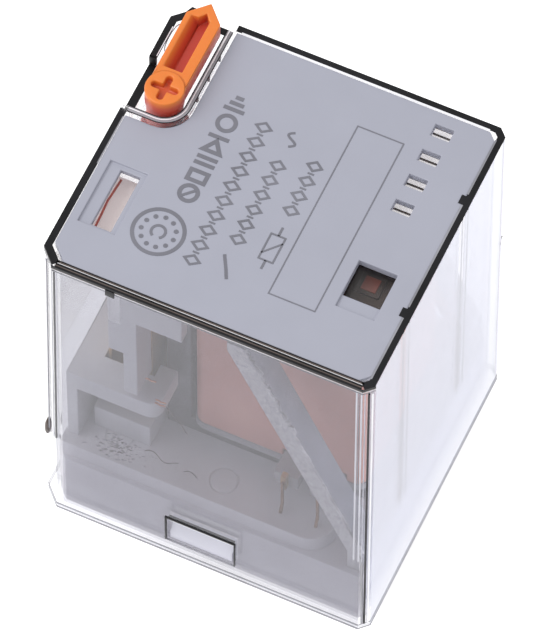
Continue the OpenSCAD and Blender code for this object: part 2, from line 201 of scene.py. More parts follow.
def clear_plastic(name, tint, haze, roughness=0.04, haze_color=(0.9, 0.9, 0.97), sheen=0.0):
    """Clear moulded wall: seen through, with gloss, a milky haze and flow waves.

    sheen is a painted sheen: white milk that a wall gains where it is seen edge on, standing in
    for glare.
    """
    s = Shader(name)
    waves = s.bump(s.noise(7.0, 2.0, (1, 1, 3)), 0.03)
    through = s.add("ShaderNodeBsdfTransparent")
    through.inputs["Color"].default_value = (*tint, 1)
    gloss = s.add("ShaderNodeBsdfGlossy")
    gloss.inputs["Roughness"].default_value = roughness
    s.link(waves, gloss.inputs["Normal"])
    # the same curve on both sides of the wall, as rays go through it without bending
    facing = s.add("ShaderNodeLayerWeight")
    facing.inputs["Blend"].default_value = 0.5
    s.link(waves, facing.inputs["Normal"])
    steep = s.add("ShaderNodeMath", operation="POWER")
    s.link(facing.outputs["Facing"], steep.inputs[0])
    steep.inputs[1].default_value = GLOSS_POWER
    mirror = s.span(steep.outputs["Value"], GLOSS_SQUARE_ON, 1.0)
    milk = s.add("ShaderNodeBsdfDiffuse")
    milk.inputs["Color"].default_value = (*haze_color, 1)
    clouded = s.add("ShaderNodeMixShader")
    # the wall's own haze, plus painted sheen that grows towards grazing angles
    haze_and_sheen = s.add("ShaderNodeMath", operation="MULTIPLY_ADD")
    s.link(steep.outputs["Value"], haze_and_sheen.inputs[0])
    haze_and_sheen.inputs[1].default_value = sheen
    s.link(s.span(s.noise(11.0, 3.0), haze * 0.6, haze * 1.4), haze_and_sheen.inputs[2])
    s.link(haze_and_sheen.outputs["Value"], clouded.inputs["Fac"])
    s.link(through.outputs["BSDF"], clouded.inputs[1])
    s.link(milk.outputs["BSDF"], clouded.inputs[2])
    mixed = s.add("ShaderNodeMixShader")
    s.link(mirror, mixed.inputs["Fac"])
    s.link(clouded.outputs["Shader"], mixed.inputs[1])
    s.link(gloss.outputs["BSDF"], mixed.inputs[2])
    s.link(mixed.outputs["Shader"], s.output.inputs["Surface"])
    return s.material


def orange_plastic():
    """Translucent orange with painted shade: redder and darker deeper down in the lever's
    recesses.
    """
    s = Shader("orange_lever")
    surface = s.principled(Roughness=0.38, Subsurface_Weight=0.15)
    surface.inputs["Subsurface Radius"].default_value = (0.0012, 0.0004, 0.0002)
    top, recess_depth, lip_depth = box_mm("test_lever")[1].z, 1.9, 0.2
    split = s.add("ShaderNodeSeparateXYZ")
    s.link(s.place, split.inputs[0])
    # painted shade: darkest and reddest at the recess floor, plain orange at the lip
    recess_shade = s.add("ShaderNodeMapRange")
    recess_shade.inputs["From Min"].default_value = (top - recess_depth) * MM
    recess_shade.inputs["From Max"].default_value = (top - lip_depth) * MM
    s.link(split.outputs["Z"], recess_shade.inputs["Value"])
    s.link(s.ramp(recess_shade.outputs["Result"],
                  [(0.0, (0.50, 0.045, 0.028)), (0.5, (0.58, 0.08, 0.035)),
                   (1.0, (0.76, 0.205, 0.032))]),
           surface.inputs["Base Color"])
    s.link(s.bump(s.noise(0.5, 3.0), 0.01), surface.inputs["Normal"])
    return s.material


def coil_tape_material():
    """Pink polyester tape: lapped turns, small creases and a dull shine."""
    s = Shader("pink_coil_tape")
    surface = s.principled(Coat_Weight=0.25, Coat_Roughness=0.3)
    cloud = s.noise(5.0, 5.0, (1, 1, 2.5))
    s.link(s.ramp(cloud, [(0.25, (0.62, 0.26, 0.205)), (0.55, (0.72, 0.33, 0.265)),
                          (0.8, (0.80, 0.40, 0.31))]), surface.inputs["Base Color"])
    s.link(s.span(s.noise(0.9, 3.0), 0.38, 0.6), surface.inputs["Roughness"])
    laps = s.bump(s.noise(1.6, 2.0, (8, 8, 1)), 0.08)
    s.link(s.bump(s.noise(0.7, 4.0), 0.03, laps), surface.inputs["Normal"])
    return s.material


def punched_steel():
    """Bright punched strip, burnished at the edge and torn; its darker sides are painted shade,
    in a material of their own.
    """
    s = Shader("punched_steel")
    surface = s.principled(Metallic=0.85)
    grain = s.noise(0.35, 5.0, (1, 1, 2))
    s.link(s.ramp(grain, [(0.3, (0.50, 0.49, 0.51)), (0.5, (0.66, 0.65, 0.66)),
                          (0.75, (0.74, 0.73, 0.74))]), surface.inputs["Base Color"])
    s.link(s.span(s.noise(0.5, 4.0), 0.34, 0.62), surface.inputs["Roughness"])
    s.link(s.bump(grain, 0.05), surface.inputs["Normal"])
    return s.material


PLATE = plastic("label_plate", (0.355, 0.363, 0.43), 0.5, 0.02, 0.2, 0.002)
INK = plastic("printed_ink", (0.17, 0.17, 0.20), 0.6, 0.1, 0.1, 0.003)
BASE = plastic("base_grey", (0.67, 0.65, 0.69), 0.5, 0.06, 0.3, 0.004)
LUG = plastic("lug_grey", (0.50, 0.50, 0.57), 0.5, 0.05, 0.3, 0.004)
CARD = plastic("card_grey", (0.63, 0.625, 0.66), 0.45, 0.06, 0.25, 0.004)
BOBBIN = plastic("bobbin_grey", (0.34, 0.335, 0.36), 0.5, 0.08, 0.25, 0.005)
# the flag's faint glow is painted light, lifting it out of the shade under the clear roof
FLAG = plastic("flag_white", (0.90, 0.82, 0.80), 0.55, 0.06, 0.2, 0.003,
               Emission_Color=(1.0, 0.86, 0.84, 1), Emission_Strength=0.16)
FLAG_RED = plastic("flag_red", (0.55, 0.08, 0.05), 0.5, 0.15, 0.2, 0.003)
ORANGE = orange_plastic()
TAPE = coil_tape_material()
STRAP = punched_steel()
MAGNET = metal("magnet_steel", (0.17, 0.165, 0.18), 0.5, (1, 1, 8), 0.25)
STEEL = metal("plated_steel", (0.62, 0.61, 0.62), 0.28, (6, 1, 1), 0.12)
BRONZE = metal("spring_bronze", (0.62, 0.42, 0.24), 0.3, (1, 1, 14), 0.2)
BRASS = metal("rolled_brass", (0.55, 0.36, 0.16), 0.33, (1, 1, 14), 0.22)
COPPER = metal("bright_copper", (0.66, 0.30, 0.17), 0.3, (4, 4, 1), 0.3)
SILVER = metal("silver_alloy", (0.82, 0.81, 0.80), 0.25, (1, 2, 2), 0.12)
TIN = metal("tinned_brass", (0.56, 0.545, 0.51), 0.3, (1, 1, 10), 0.14)
ENAMEL = metal("enamelled_wire", (0.26, 0.12, 0.06), 0.3, (1, 1, 1), 0.35)
CLEAR = clear_plastic("clear_polycarbonate", (0.985, 0.985, 0.99), 0.035)
# the front wall's greyer tint and grey haze are partly painted shade
CLEAR_FRONT = clear_plastic("clear_front_wall", (0.80, 0.80, 0.83), 0.09,
                            haze_color=(0.44, 0.44, 0.48))
CLEAR_ROOF = clear_plastic("clear_roof", (0.97, 0.96, 0.96), 0.004)
# the right wall's white lavender haze and its sheen are partly painted sheen, the glare of the
# lit wall
CLEAR_SIDE = clear_plastic("clear_side_wall", (0.94, 0.95, 1.0), 0.08,
                           haze_color=(0.86, 0.875, 1.0), sheen=1.4)
# painted lines for the clear cover's edges: dark and grey for the refraction and shade they show,
# bright and pale for their highlights; the brown also colours the flux specks and the gate stub
PAINTED_DARK_LINE = plastic("painted_dark_line", (0.008, 0.008, 0.01), 0.4, 0.5, 0.6, 0.01,
                    Specular_IOR_Level=0.25)
EDGE_BROWN = plastic("brown_edge", (0.10, 0.075, 0.065), 0.3, 0.4, 0.6, 0.01)
PAINTED_BRIGHT_LINE = plastic("painted_bright_line", (0.86, 0.86, 0.90), 0.25, 0.06, 0.6, 0.01)
PAINTED_PALE_LINE = plastic("painted_pale_line", (0.50, 0.50, 0.58), 0.25, 0.15, 0.8, 0.01)
PAINTED_GREY_LINE = plastic("painted_grey_line", (0.27, 0.27, 0.30), 0.25, 0.25, 0.8, 0.01)
# the well's dark brown is painted shade, and its red is copper darkened by painted shade
WELL_SHADE = plastic("well_painted_shade", (0.045, 0.02, 0.012), 0.45, 0.3, 0.4, 0.01)
WELL_RED = plastic("well_red", (0.26, 0.05, 0.025), 0.45, 0.2, 0.4, 0.01)
# the strap's sides: a darker steel that is painted shade
STRAP_SIDE_SHADE = metal("strap_side_painted_shade", (0.35, 0.35, 0.385), 0.5, (1, 1, 8), 0.12)
BURR = metal("torn_burr", (0.60, 0.59, 0.60), 0.45, (1, 1, 2), 0.6, 0.02, 0.3)
# panels that glow, painted light, in place of the white seen through the slots
GLINT = plastic("slot_glint", (0.90, 0.90, 0.93), 0.3, 0.06, 0.3, 0.003,
                Emission_Color=(1, 1, 1, 1), Emission_Strength=0.55)

MATERIALS = {
    "top_plate": PLATE, "base": BASE, "test_lever": ORANGE, "test_plunger": ORANGE,
    "plunger_spring": STEEL, "indicator_flag": FLAG, "coil_bobbin": BOBBIN,
    "coil_winding": ENAMEL, "coil_tape": TAPE, "core": MAGNET, "shading_ring": COPPER,
    "yoke": MAGNET, "yoke_screws": STEEL, "magnet_strap": STRAP, "armature": MAGNET,
    "armature_card": CARD, "return_spring": BRONZE, "contact_block": CARD,
    "fixed_contacts": SILVER, "coil_terminals": BRASS, "coil_leads": ENAMEL,
    "flexible_leads": COPPER, "cover": CLEAR,
}


def node_material(node):
    """The material of a CAD node; numbered nodes share their family's."""
    if node in MATERIALS:
        return MATERIALS[node]
    family = node.rsplit("_", 1)[0]
    return {"pin": TIN, "moving_blade": BRONZE, "moving_contacts": SILVER,
            "open_blade": BRASS, "closed_blade": BRASS}[family]


# ------------------------------------------------------------------ mesh helpers

WELD = 0.002
SHARPEST_MITER = 0.4


def smooth(mesh, angle=32):
    mesh.polygons.foreach_set("use_smooth", [True] * len(mesh.polygons))
    mesh.set_sharp_from_angle(angle=math.radians(angle))


def made_mesh(work, name):
    """The finished mesh of a bmesh, which is freed."""
    mesh = bpy.data.meshes.new(name)
    work.to_mesh(mesh)
    work.free()
    return mesh


def add_piece(name, mesh, body, slot, *materials, nodes=()):
    """Puts a mesh in the scene as a piece that rides on a body."""
    piece = bpy.data.objects.new(name, mesh)
    bpy.context.collection.objects.link(piece)
    for material in materials:
        mesh.materials.append(material)
    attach(piece, body)
    if nodes:
        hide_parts(*nodes)
    return piece


def refined(node, bevel_mm=0.08, segments=2, sharp_deg=38):
    """A piece made from a CAD node's shape with its sharp edges rounded."""
    work = bmesh.new()
    work.from_mesh(frame["nodes"][node].data)
    if bevel_mm:
        bmesh.ops.remove_doubles(work, verts=work.verts, dist=WELD * MM)
        sharp = [edge for edge in work.edges if len(edge.link_faces) == 2
                 and edge.calc_face_angle() > math.radians(sharp_deg)]
        bmesh.ops.bevel(work, geom=sharp, offset=bevel_mm * MM, segments=segments, profile=0.6,
                        affect="EDGES", clamp_overlap=False)
    mesh = made_mesh(work, node + "_fine")
    smooth(mesh, 60)
    piece = add_piece(node + "_fine", mesh, body_of_node(node), SLOTS[node],
                      node_material(node), nodes=(node,))
    if bevel_mm:
        # flat faces stay flat beside their rounded edges
        flatten = piece.modifiers.new("flat_faces", "WEIGHTED_NORMAL")
        flatten.keep_sharp = True
        flatten.weight = 100
    return piece


def joined(name, meshes):
    """One mesh out of several; each keeps its material index."""
    work = bmesh.new()
    for index, mesh in meshes:
        first = len(work.faces)
        work.from_mesh(mesh)
        work.faces.ensure_lookup_table()
        for face in work.faces[first:]:
            face.material_index = index
    mesh = made_mesh(work, name)
    smooth(mesh)
    return mesh


def layered(*groups):
    """Tags each group's parts with the index of its material, in order."""
    return [(index, part) for index, group in enumerate(groups) for part in group]


def add_joined(name, parts, body, slot, *materials):
    """One piece out of parts that are tagged with the index of their material."""
    return add_piece(name, joined(name, parts), body, slot, *materials)


def swept(name, rings, closed=False):
    """A solid skin through rings of points, capped unless it closes on itself."""
    work = bmesh.new()
    rings = [[work.verts.new(Vector(point) * MM) for point in ring] for ring in rings]
    for a, b in zip(rings, rings[1:] + (rings[:1] if closed else [])):
        for k in range(len(a)):
            after = (k + 1) % len(a)
            work.faces.new((a[k], a[after], b[after], b[k]))
    if not closed:
        work.faces.new(rings[0][::-1])
        work.faces.new(rings[-1])
    bmesh.ops.recalc_face_normals(work, faces=work.faces)
    return made_mesh(work, name)


def stroke(points, width, z, height=0.03, closed=False):
    """A flat printed line of even width along points, as a thin solid ribbon."""
    points = [Vector((x, y, 0)) for x, y in points]
    count = len(points)
    rings = []
    for i, point in enumerate(points):
        before = points[i - 1] if closed or i else None
        after = points[(i + 1) % count] if closed or i < count - 1 else None
        into = (point - before).normalized() if before is not None else None
        out = (after - point).normalized() if after is not None else None
        into, out = into or out, out or into
        miter = (into + out).normalized()
        side = Vector((-miter.y, miter.x, 0))
        reach = width / 2 / max(SHARPEST_MITER, side.dot(Vector((-into.y, into.x, 0))))
        left, right = point + side * reach, point - side * reach
        rings.append([(p.x, p.y, h) for p, h in
                      ((left, z), (right, z), (right, z + height), (left, z + height))])
    return swept("stroke", rings, closed)


def arc(center, radius, start_deg, end_deg, steps=24):
    return [(center[0] + radius * math.cos(math.radians(a)),
             center[1] + radius * math.sin(math.radians(a)))
            for a in (start_deg + (end_deg - start_deg) * i / steps for i in range(steps + 1))]


def tube(points, radius, sides=10):
    """A round wire along points given in millimetres."""
    rings = []
    last = len(points) - 1
    turns = [2 * math.pi * k / sides for k in range(sides)]
    for i, point in enumerate(points):
        along = (Vector(points[min(i + 1, last)]) - Vector(points[max(i - 1, 0)])).normalized()
        guide = Vector((0, 1, 0)) if abs(along.z) > 0.9 else Vector((0, 0, 1))
        side = along.cross(guide).normalized()
        up = side.cross(along)
        rings.append([Vector(point) + radius * (side * math.cos(turn) + up * math.sin(turn))
                      for turn in turns])
    return swept("tube", rings)


def block(low, high, bevel_mm=0.05):
    """A box with rounded edges between two corners."""
    work = bmesh.new()
    bmesh.ops.create_cube(work, size=1.0)
    low, high = Vector(low), Vector(high)
    for vert in work.verts:
        vert.co = Vector([(low[k] + high[k]) / 2 + vert.co[k] * (high[k] - low[k])
                          for k in range(3)]) * MM
    bmesh.ops.bevel(work, geom=work.edges[:], offset=bevel_mm * MM, segments=2, profile=0.6,
                    affect="EDGES")
    return made_mesh(work, "block")


# ------------------------------------------------------------------ CAD shapes

FINE_BEVEL = {
    "top_plate": 0.12, "base": 0.12, "test_lever": 0.14, "cover": 0.12, "coil_bobbin": 0.15,
    "armature_card": 0.15, "contact_block": 0.12, "yoke": 0.2, "armature": 0.15,
    "magnet_strap": 0.12, "coil_tape": 0.1, "indicator_flag": 0.05, "yoke_screws": 0.05,
    "test_plunger": 0.08, "core": 0.1, "plunger_spring": 0,
}
DEFAULT_BEVEL = 0.05
PLAIN_NODES = ("coil_leads", "flexible_leads", "coil_winding",
               "coil_terminals", "shading_ring")
FLAT_ON = 0.98  # the share of a normal that counts as square to an axis
FRONT_WALL_Y, RIGHT_WALL_X, ROOF_Z = -16, 17.4, 48
LUG_Y, LUG_LOW, LUG_HIGH, LUG_HALF_WIDTH = 16.3, 2, 8, 4.2


def shade_walls(cover):
    """The front wall is hazed and greyer, partly painted shade; the right wall milky, partly
    painted sheen; and the roof the clearest.
    """
    cover.data.materials.append(CLEAR_FRONT)
    cover.data.materials.append(CLEAR_SIDE)
    cover.data.materials.append(CLEAR_ROOF)
    for face in cover.data.polygons:
        if abs(face.normal.y) > FLAT_ON and face.center.y < FRONT_WALL_Y * MM:
            face.material_index = 1
        elif abs(face.normal.x) > FLAT_ON and face.center.x > RIGHT_WALL_X * MM:
            face.material_index = 2
        elif abs(face.normal.z) > FLAT_ON and face.center.z > ROOF_Z * MM:
            face.material_index = 3


def squeeze_spring(spring):
    """The plunger's spring gets a mesh of its own."""
    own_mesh(spring)


def shade_lugs(base):
    """The faces of the latch lugs, which are out in the open, look a shade deeper."""
    base.data.materials.append(LUG)
    for face in base.data.polygons:
        if (abs(face.center.y) > LUG_Y * MM and abs(face.center.x) < LUG_HALF_WIDTH * MM
                and LUG_LOW * MM < face.center.z < LUG_HIGH * MM):
            face.material_index = 1


def shade_strap_sides(strap):
    """Only the strap's front and back are burnished; its sides are a darker, duller steel that is
    painted shade.
    """
    strap.data.materials.append(STRAP_SIDE_SHADE)
    for face in strap.data.polygons:
        # painted shade on every face not turned to the front or back
        if abs(face.normal.y) < 0.5:
            face.material_index = 1


TOUCHES = {"cover": shade_walls, "plunger_spring": squeeze_spring, "base": shade_lugs,
           "magnet_strap": shade_strap_sides}


def dress_cad():
    """Every CAD node gets its material, and most get rounded edges as well."""
    for node, shape in frame["nodes"].items():
        if node in PLAIN_NODES:
            shape.data.materials.clear()
            shape.data.materials.append(node_material(node))
        else:
            piece = refined(node, FINE_BEVEL.get(node, DEFAULT_BEVEL))
            if node in TOUCHES:
                TOUCHES[node](piece)


# ------------------------------------------------------------------ top plate print

INK_Z = RIM_Z
THIN, BOLD = 0.2, 0.46
ROW_PITCH = 1.95
PIN_COUNT = 11


def ring_line(center, radius, weight, steps=32):
    """A printed circle."""
    return stroke(arc(center, radius, 0, 360, steps)[:-1], weight, INK_Z, closed=True)


def print_signs(x, y):
    """A row of bold circuit signs: lamp, fuse, capacitor, diode, contact and earth."""
    right = x + 2.3
    middle = (x + right) / 2
    lamp, fuse, diode, contact, earth = y + 1.1, y + 2.7, y + 7.3, y + 10.4, y + 12.2
    parts = [ring_line((middle, lamp), 0.95, BOLD),
             stroke([(middle - 0.6, lamp - 0.6), (middle + 0.6, lamp + 0.6)], 0.3, INK_Z + 0.01),
             stroke([(x + 0.2, fuse), (right - 0.2, fuse), (right - 0.2, y + 3.9),
                     (x + 0.2, y + 3.9)], BOLD, INK_Z, closed=True)]
    for at in (y + 4.9, y + 5.7):
        parts.append(stroke([(x, at), (right, at)], BOLD, INK_Z))
    parts.append(stroke([(x + 0.2, diode - 0.7), (right - 0.2, diode - 0.7),
                         (middle, diode + 0.7)], BOLD, INK_Z, closed=True))
    parts.append(stroke([(x, diode + 1.2), (right, diode + 1.2)], BOLD, INK_Z))
    parts.append(ring_line((middle, contact), 0.95, BOLD))
    for k, inset in enumerate((0.0, 0.35, 0.7)):
        at = earth + 0.75 * k
        parts.append(stroke([(x + inset, at), (right - inset, at)], BOLD, INK_Z))
    return parts


def print_row(x, y, width, count):
    """An even row of diamonds with short ticks between them, in place of writing."""
    parts = []
    weight, tick = 0.26, 0.35
    middle = x + width / 2
    reach = ROW_PITCH * 0.3
    for k in range(count):
        at = y + k * ROW_PITCH
        parts.append(stroke([(x, at), (middle, at - reach), (x + width, at),
                             (middle, at + reach)], weight, INK_Z, closed=True))
        if k < count - 1:
            between = at + ROW_PITCH / 2
            parts.append(stroke([(middle - tick, between), (middle + tick, between)],
                                weight * 0.8, INK_Z))
    return parts


def print_pin_diagram(x, y, radius):
    """The plug seen from below: eleven pins round a keyed post."""
    parts = [ring_line((x, y), radius, 0.42, 48),
             stroke(arc((x, y), radius * 0.28, -60, 240, 16), 0.3, INK_Z)]
    for pin in range(PIN_COUNT):
        angle = -90 + (pin + 0.5) * 360 / PIN_COUNT
        spot = arc((x, y), radius * 0.68, angle, angle, 1)[0]
        parts.append(ring_line(spot, 0.13, 0.26, 10))
    return parts


def print_coil_sign(x, y):
    """A coil's circuit sign: a box with a slant, and a lead at either end."""
    half, length, lead = 0.8, 3.2, 1.1
    return [stroke([(x - half, y), (x + half, y), (x + half, y + length),
                    (x - half, y + length)], THIN, INK_Z, closed=True),
            stroke([(x - half, y + 0.7), (x + half, y + 2.5)], THIN, INK_Z),
            stroke([(x, y - lead), (x, y)], THIN * 1.3, INK_Z),
            stroke([(x, y + length), (x, y + length + lead)], THIN * 1.3, INK_Z)]


def print_plate():
    parts = print_pin_diagram(-8.9, -9.0, 2.7)
    parts += print_signs(-9.2, -4.6)
    parts += print_row(-5.2, -10.6, 1.7, 10)
    parts += print_row(-1.9, -6.4, 1.6, 6)
    # a slash before the second row, and a wave after it
    parts.append(stroke([(-0.2, -11.2), (-0.7, -10.2), (-1.6, -8.6)], 0.34, INK_Z))
    parts.append(stroke([(-1.1 + 0.55 * math.sin(math.radians(a)), 5.9 + a / 200)
                         for a in range(0, 361, 20)], 0.26, INK_Z))
    parts += print_row(1.6, -1.0, 1.6, 4)
    parts += print_coil_sign(2.5, -7.5)
    left, right, front, back = 4.4, 9.6, -10.9, 11.2
    parts.append(stroke([(left, front), (right, front), (right, back), (left, back)], 0.14,
                        INK_Z, closed=True))
    add_joined("plate_print", layered(parts), "case", "plate_plastic", INK)


# ------------------------------------------------------------------ painted lines on the edges of the clear cover

WALL_CUTS = (1.9, 1.0, 0.9, 2.0)
BAY_RIGHT, BAY_FRONT, BAY_R = -12.65, 3.25, 2.35
BAY_SIDE_Z = 48.8
RIBS = (-7.2, 7.6)
LINE_HEIGHT = 0.05
LIFT = 0.01  # keeps a line just clear of the face it lies on
CUT_SHRINK = 0.586  # how much a 45 degree corner's cut shrinks as its walls move in


def case_half(z):
    """Half the cover's outer width and depth at height z."""
    lean = DRAFT * z / RIM_Z
    return CASE_HIGH.x - lean, CASE_HIGH.y - lean


def ring_corners(half_x, half_y, shrink):
    """The cover's eight-sided outline, moved in by shrink, from the front left corner round."""
    cuts = [cut - CUT_SHRINK * shrink for cut in WALL_CUTS]
    x, y = half_x - shrink, half_y - shrink
    return [(-x + cuts[0], -y), (x - cuts[1], -y), (x, -y + cuts[1]), (x, y - cuts[2]),
            (x - cuts[2], y), (-x + cuts[3], y), (-x, y - cuts[3]), (-x, -y + cuts[0])]


def rim_path(shrink):
    return ring_corners(*case_half(RIM_Z), shrink)


def edge_strips():
    """Dark and bright lines painted along the thick moulded rim all round the plate, for the
    light its clear plastic bends and reflects.
    """
    front_left, front_right, right_front, right_back, back_right, back_left, left_back, \
        left_front = rim_path(0.41)
    top = RIM_Z + LIFT
    dark, grey, light, brown = [], [], [], []
    dark.append(stroke([(left_front[0], BAY_FRONT - 0.3), left_front, front_left], 0.78, top,
                       LINE_HEIGHT))
    dark.append(stroke([front_right, right_front, right_back, back_right,
                        (BAY_RIGHT + 0.75, back_right[1])], 0.78, top, LINE_HEIGHT))
    # the front rim is a stack of thin lines
    for y, width, group in ((-16.45, 0.14, dark), (-16.6, 0.16, brown), (-16.71, 0.05, light),
                            (-16.86, 0.22, dark), (-17.03, 0.12, brown), (-17.16, 0.14, dark)):
        group.append(stroke([(front_left[0], y), (front_right[0], y)], width, top, LINE_HEIGHT))
    # a fine inner line, broken on the right where each rib meets the rim
    inner = rim_path(0.78)
    right, back, left = inner[2][0], inner[4][1], inner[7][0]
    for low, high in ((inner[2][1] + 0.2, RIBS[0] - 0.6), (RIBS[0] + 0.8, RIBS[1] - 0.6),
                      (RIBS[1] + 0.8, inner[3][1] - 0.4)):
        grey.append(stroke([(right, low), (right, high)], 0.2, top + LIFT, LINE_HEIGHT))
    for y in RIBS:
        dark.append(block((17.55, y - 0.55, RIM_Z), (18.45, y + 0.55, RIM_Z + 0.07), 0.02))
    grey.append(stroke([(left - 0.02, BAY_FRONT - 1.2), (left - 0.02, -4.2)], 0.14, top + LIFT,
                       LINE_HEIGHT))
    light.append(stroke([(BAY_RIGHT + 1.4, back - 0.02), (17.0, back - 0.02)], 0.22,
                        top + 2 * LIFT, LINE_HEIGHT))
    # the lower rim beside the lever
    low = ring_corners(*case_half(BAY_SIDE_Z), 0.5)
    low_left, low_back = low[6][0], low[5][1]
    bay_top = BAY_SIDE_Z + LIFT
    dark.append(stroke([(low_left, BAY_FRONT + 0.4), (low_left, 10.1)], 0.95, bay_top,
                       LINE_HEIGHT))
    dark.append(stroke([(left_back[0] + 0.05, 9.9), left_back, back_left,
                        (-17.3, back_left[1])], 0.85, top, LINE_HEIGHT))
    dark.append(stroke([(-17.5, low_back), (BAY_RIGHT - 0.2, low_back)], 0.8, bay_top,
                       LINE_HEIGHT))
    light.append(stroke([(left_back[0] + 0.34, 10.2), (left_back[0] + 0.34, 14.2)], 0.1,
                        top + LIFT, LINE_HEIGHT))
    # the step on the left, where the lower rim rises to the full height
    dark.append(block((left_back[0] - 0.35, 9.75, BAY_SIDE_Z),
                      (left_back[0] + 0.45, 10.05, RIM_Z + 0.06), 0.03))
    add_joined("rim_lines", layered(dark, grey, light, brown), "case", SLOTS["cover"],
               PAINTED_DARK_LINE, PAINTED_GREY_LINE, PAINTED_BRIGHT_LINE, EDGE_BROWN)


def front_band():
    """Painted lines stacked down the rim of the front wall, under the plate's front edge, for the
    light its clear plastic bends and reflects.
    """
    dark, brown, light, grey = range(4)
    parts = []
    for start, end, index in ((0.02, 0.42, dark), (0.42, 0.52, brown), (0.60, 0.65, light),
                              (0.90, 0.96, grey)):
        half_x, half_y = case_half(RIM_Z - end)
        y = -half_y - 0.03
        parts.append((index, block((-half_x + 1.7, y, RIM_Z - end),
                                   (half_x - 0.95, y + 0.1, RIM_Z - start), 0.01)))
        corner = ring_corners(half_x, half_y, -0.02)
        for a, b in ((corner[0], corner[7]), (corner[1], corner[2])):
            parts.append((index, wall_strip(a, b, RIM_Z - end, RIM_Z - start, 0.06)))
    # a short dark line under the rim, towards its left end
    parts.append((dark, block((-11.0, -17.36, 48.9), (-10.0, -17.2, 50.0), 0.02)))
    add_joined("front_rim_lines", parts, "case", SLOTS["cover"], PAINTED_DARK_LINE, EDGE_BROWN,
               PAINTED_BRIGHT_LINE, PAINTED_GREY_LINE)


def wall_strip(a, b, z_low, z_high, thick):
    """An upright strip standing on the line from a to b, thick towards the inside."""
    a, b = Vector((*a, 0)), Vector((*b, 0))
    along = (b - a).normalized()
    inward = Vector((-along.y, along.x, 0))
    if inward.dot(-(a + b)) < 0:
        inward = -inward
    corners = [a, b, b + inward * thick, a + inward * thick]
    return swept("strip", [[(p.x, p.y, z) for p in corners] for z in (z_low, z_high)])


def upright(x, y, z_low, z_high, width):
    """A thin upright line that leans with the wall; x, y are its place at the rim."""
    lean = DRAFT * (RIM_Z - z_low) / RIM_Z
    return tube([(x + math.copysign(lean, x), y - lean, z_low), (x, y, z_high)], width / 2, 8)


def corner_lines():
    """The bright and dark upright lines, painted highlights and dark refraction, in the cover's
    corners and on the right wall's ribs.
    """
    dark, light, grey, pale = [], [], [], []
    half_x, half_y = case_half(RIM_Z)
    wall_foot, rib_foot, groove_foot, guide_foot = 1.0, 12.1, 14.4, 14.6
    head = RIM_Z - 1.2
    # front left: pale walls of a guide rib with a dark line, on a square foot
    for x, inset, width, group in ((-17.35, 0.35, 0.22, light), (-17.0, 0.3, 0.26, dark),
                                   (-16.72, 0.3, 0.16, light), (-18.2, 1.1, 0.18, grey),
                                   (-18.55, 1.7, 0.1, light)):
        group.append(upright(x, -half_y + inset, guide_foot, head, width))
    light.append(block((-17.75, -17.15, 14.2), (-16.95, -16.9, 15.0), 0.05))
    # front right: grooved corner, bright edges with a dark gap; the outer two reach the foot
    for to_corner, inset, width, foot, group in (
            (1.75, 0.25, 0.22, groove_foot, light), (1.5, 0.25, 0.1, groove_foot, grey),
            (1.2, 0.22, 0.2, groove_foot, light), (0.85, 0.3, 0.12, groove_foot, pale),
            (0.5, 0.5, 0.26, wall_foot, dark), (0.22, 0.75, 0.26, wall_foot, light)):
        group.append(upright(half_x - to_corner, -half_y + inset, foot, head, width))
    grey.append(upright(half_x - 0.7, -half_y + 0.35, wall_foot, groove_foot, 0.3))
    # back right, seen through the right wall
    for inset_x, inset_y, group in ((0.35, 0.55, grey), (0.12, 1.0, light)):
        x, y = half_x - inset_x, half_y - inset_y
        group.append(tube([(x + DRAFT, y + DRAFT, wall_foot), (x, y, RIM_Z - 1.0)], 0.07))
    # the inner ribs of the right wall, and the small hook at its back edge
    rib_x = half_x - 0.6
    for rib in RIBS:
        for side, radius, group in ((-0.7, 0.07, dark), (0.0, 0.05, pale), (0.7, 0.06, dark)):
            group.append(tube([(rib_x + DRAFT * 0.76, rib + side, rib_foot),
                               (rib_x, rib + side, RIM_Z - 1.6)], radius, 6))
    dark.append(tube([(half_x + 0.1, half_y - 1.2, 29.6), (half_x + 0.14, half_y - 0.9, 29.2),
                      (half_x + 0.12, half_y - 0.6, 30.3)], 0.09, 6))
    add_joined("corner_lines", layered(dark, light, grey, pale), "case", SLOTS["cover"],
               PAINTED_DARK_LINE, PAINTED_BRIGHT_LINE, PAINTED_GREY_LINE, PAINTED_PALE_LINE)


def gate_stub():
    """The small dark gate stub on the left wall, beside the guide rib's foot."""
    center, radii, ripple = (-18.85, -16.1, 14.2), (0.3, 0.6, 1.5), 0.06
    work = bmesh.new()
    bmesh.ops.create_uvsphere(work, u_segments=20, v_segments=12, radius=1.0)
    for vert in work.verts:
        swell = 1 + ripple * math.sin(vert.co.z * 9 + vert.co.x * 4)
        vert.co = Vector((center[0] + radii[0] * vert.co.x * swell,
                          center[1] + radii[1] * vert.co.y,
                          center[2] + radii[2] * vert.co.z * swell)) * MM
    mesh = made_mesh(work, "gate_stub")
    smooth(mesh, 60)
    add_piece("gate_stub", mesh, "case", SLOTS["cover"], EDGE_BROWN)


def foot_lines():
    """Three painted lines, grey, bright and grey, one over another, along the cover's bottom
    edge, for the light its clear edge bends and reflects.
    """
    parts = []
    for index, (z, width) in enumerate(((0.9, 0.3), (0.5, 0.24), (0.14, 0.36))):
        path = [(x, y, z) for x, y in ring_corners(*case_half(z), 0.0)]
        for a, b in zip(path, path[1:] + path[:1]):
            # heavier along the front wall
            share = 0.5 if abs(b[0] - a[0]) > 5 and a[1] < 0 else 0.3
            parts.append((index, tube([a, b], width * share * 0.5, 8)))
    add_joined("foot_lines", parts, "case", SLOTS["cover"], PAINTED_GREY_LINE, PAINTED_BRIGHT_LINE, PAINTED_GREY_LINE)


